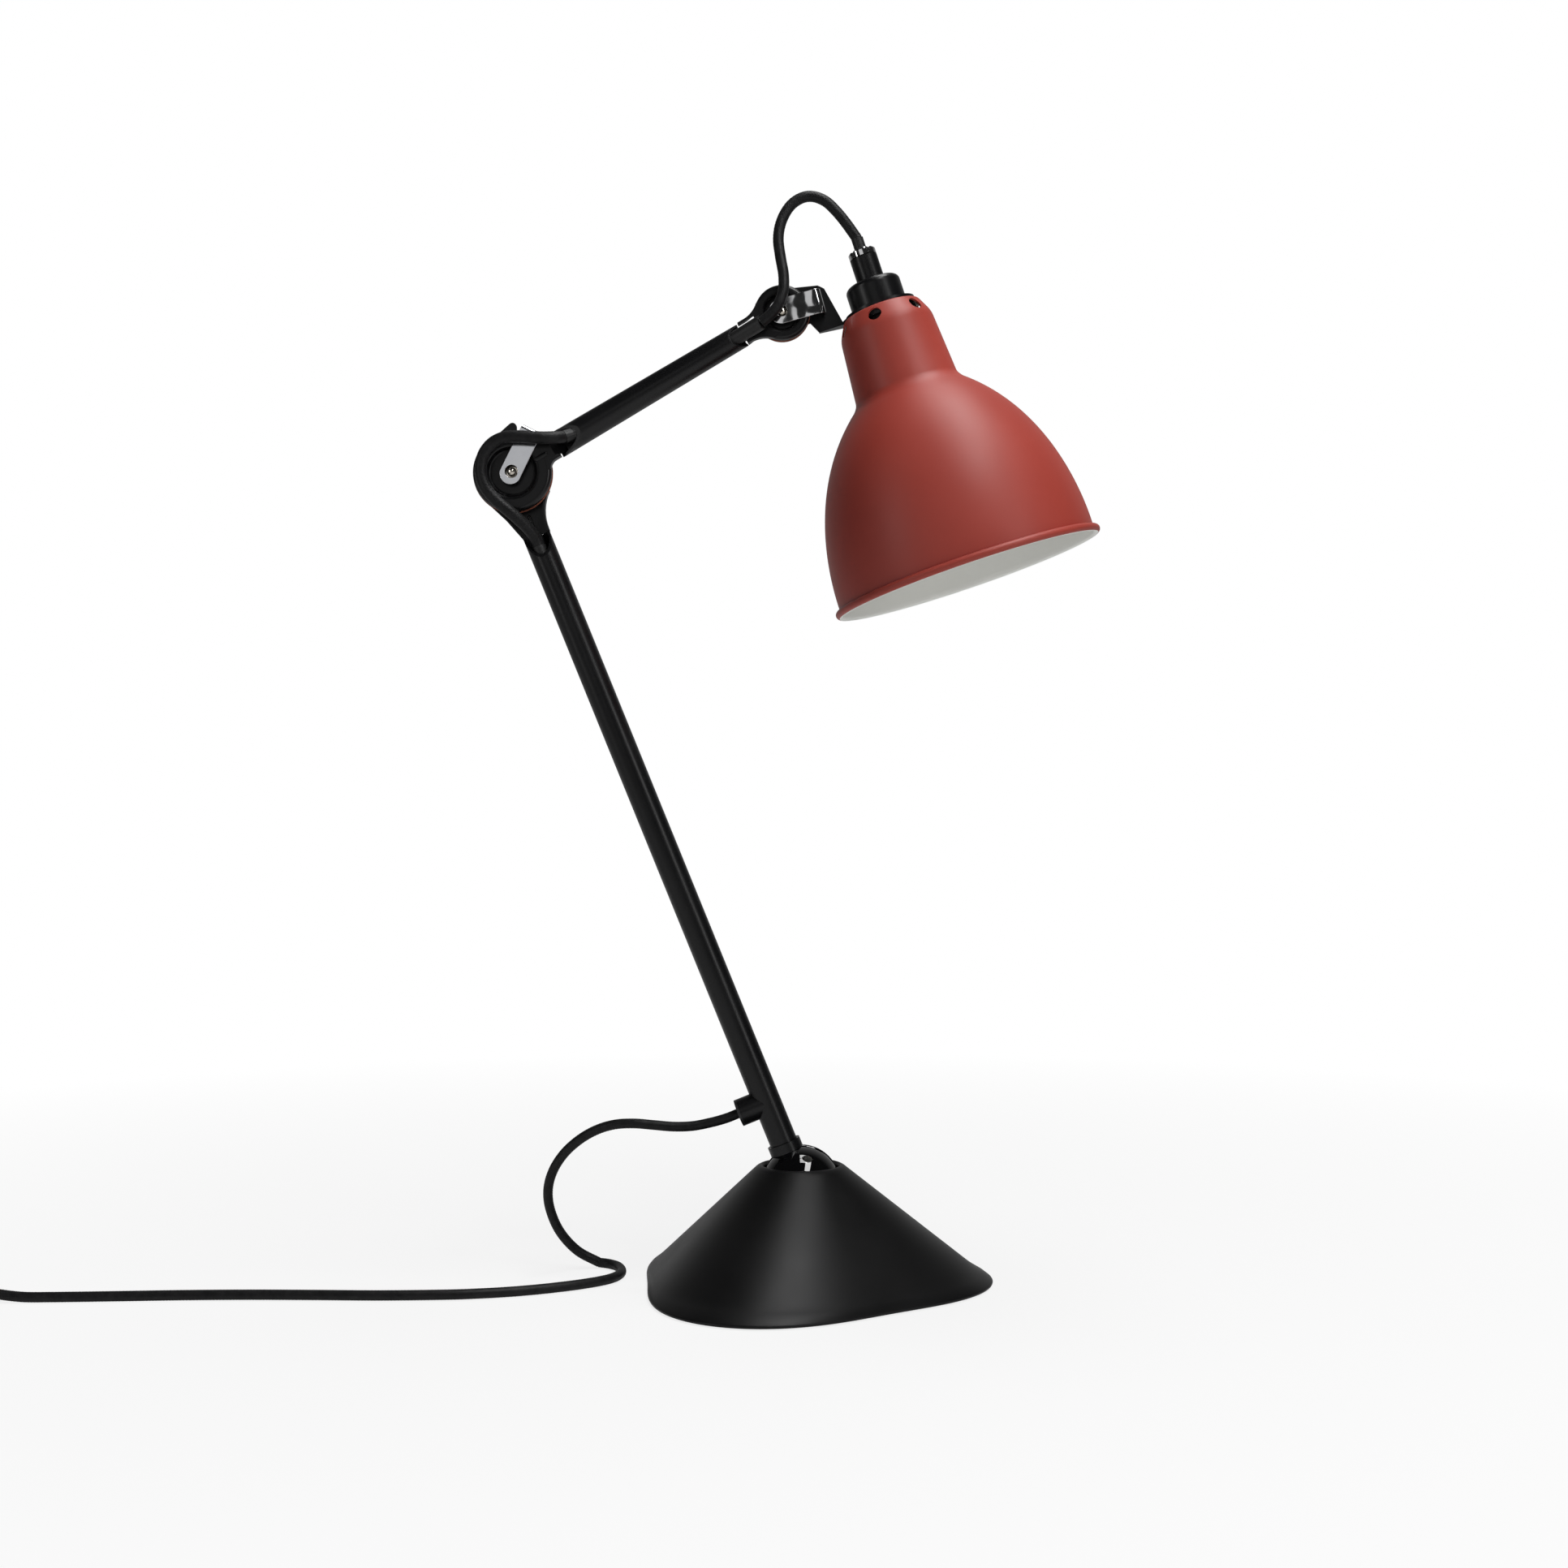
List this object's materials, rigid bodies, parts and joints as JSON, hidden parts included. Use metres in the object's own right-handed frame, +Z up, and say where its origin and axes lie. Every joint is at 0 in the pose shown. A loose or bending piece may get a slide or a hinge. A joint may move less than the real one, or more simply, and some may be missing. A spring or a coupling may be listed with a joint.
{
  "type": "desk lamp",
  "caption": "Jointed desk lamp: cone foot on three rounded corners, swivelling ball joint, two tube arms with friction knuckles and a tilting bell shade.",
  "frame": {"origin": "on the floor under the ball joint's centre", "axes": "+Z up, +X to the side the shade hangs on, -Y towards the front of the knuckles"},
  "size_m": [0.7022, 0.1924, 0.5483],
  "materials": {
    "base_black": "satin black enamel",
    "pad_rubber": "matt",
    "ballast_iron": "rough",
    "zinc_steel": "zinc plated",
    "cup_plastic": "matt",
    "ball_black": "gloss black lacquer",
    "fibre": "red vulcanised fibre",
    "arm_black": "satin black",
    "disc_black": "satin black",
    "bush_plastic": "matt",
    "sleeve_rubber": "semi-matt shrink sleeve",
    "cord_textile": "braided textile",
    "chrome": "polished",
    "pin_steel": "nickel",
    "shade_red": "satin brick red outside, off-white inside",
    "cap_black": "satin",
    "contact_brass": "plain",
    "bulb_cap_metal": "plain",
    "bulb_glass": "opal",
    "switch_black": "satin",
    "rocker_black": "satin",
    "plug_metal": "nickel"
  },
  "bodies": {
    "base": {"base_shell": "base_black", "floor_pad": "pad_rubber", "ballast_plate": "ballast_iron", "ballast_screws": "zinc_steel", "seat_bridge": "zinc_steel", "bridge_screws": "zinc_steel", "seat_springs": "zinc_steel", "seat_cup": "cup_plastic", "mains_cord_floor": "cord_textile", "switch_housing": "switch_black", "mains_cord_link": "cord_textile", "cord_coil": "cord_textile", "mains_cord_tail": "cord_textile", "plug_relief": "switch_black", "plug_body": "switch_black", "plug_pins": "plug_metal"},
    "ball": {"ball_front": "ball_black", "ball_rear": "ball_black", "ball_bolt": "zinc_steel", "ball_nut": "zinc_steel", "ball_washers": "fibre"},
    "lower_arm": {"arm_tongue": "arm_black", "arm_collar": "arm_black", "lower_tube": "arm_black", "cord_boss": "arm_black", "boss_bush": "bush_plastic", "elbow_rear_disc": "disc_black", "elbow_washer": "fibre", "lower_sleeve": "sleeve_rubber", "elbow_cord": "cord_textile", "mains_cord_drop": "cord_textile"},
    "upper_arm": {"upper_tube": "arm_black", "elbow_front_disc": "disc_black", "elbow_pin": "pin_steel", "elbow_nut": "pin_steel", "elbow_stirrup": "chrome", "upper_sleeve": "sleeve_rubber", "head_front_disc": "disc_black", "head_sleeve": "sleeve_rubber", "head_cord": "cord_textile"},
    "head": {"head_bracket": "disc_black", "head_washer": "fibre", "head_pin": "pin_steel", "head_nut": "pin_steel", "head_stirrup": "chrome", "shade": "shade_red", "holder_cap": "cap_black", "cord_nut": "chrome", "cap_sleeve": "sleeve_rubber", "lamp_holder": "cap_black", "holder_ring": "cap_black", "holder_thread": "contact_brass", "holder_contact": "contact_brass", "bulb_cap": "bulb_cap_metal", "bulb_globe": "bulb_glass"},
    "rocker": {"switch_rocker": "rocker_black"}
  },
  "joints": [
    {"name": "base_swivel", "type": "hinge", "parent": "base", "child": "ball", "pos_m": [0, 0, 0.0495], "axis": [0, 0, 1], "range_deg": [-90, 90], "deforming": ["mains_cord_floor"]},
    {"name": "arm_tilt", "type": "hinge", "parent": "ball", "child": "lower_arm", "pos_m": [0, 0, 0.0495], "axis": [0, 1, 0], "range_deg": [-12, 55], "deforming": ["mains_cord_drop"]},
    {"name": "elbow", "type": "hinge", "parent": "lower_arm", "child": "upper_arm", "pos_m": [-0.14449, 0, 0.40657], "axis": [0, 1, 0], "range_deg": [-60, 15], "deforming": ["elbow_cord"]},
    {"name": "head_tilt", "type": "hinge", "parent": "upper_arm", "child": "head", "pos_m": [-0.0095, 0, 0.48673], "axis": [0, 1, 0], "range_deg": [-35, 35], "deforming": ["head_cord"]},
    {"name": "rocker", "type": "hinge", "parent": "base", "child": "rocker", "pos_m": [-0.43, -0.0392, 0.009], "axis": [0, 1, 0], "range_deg": [0, 12]}
  ]
}
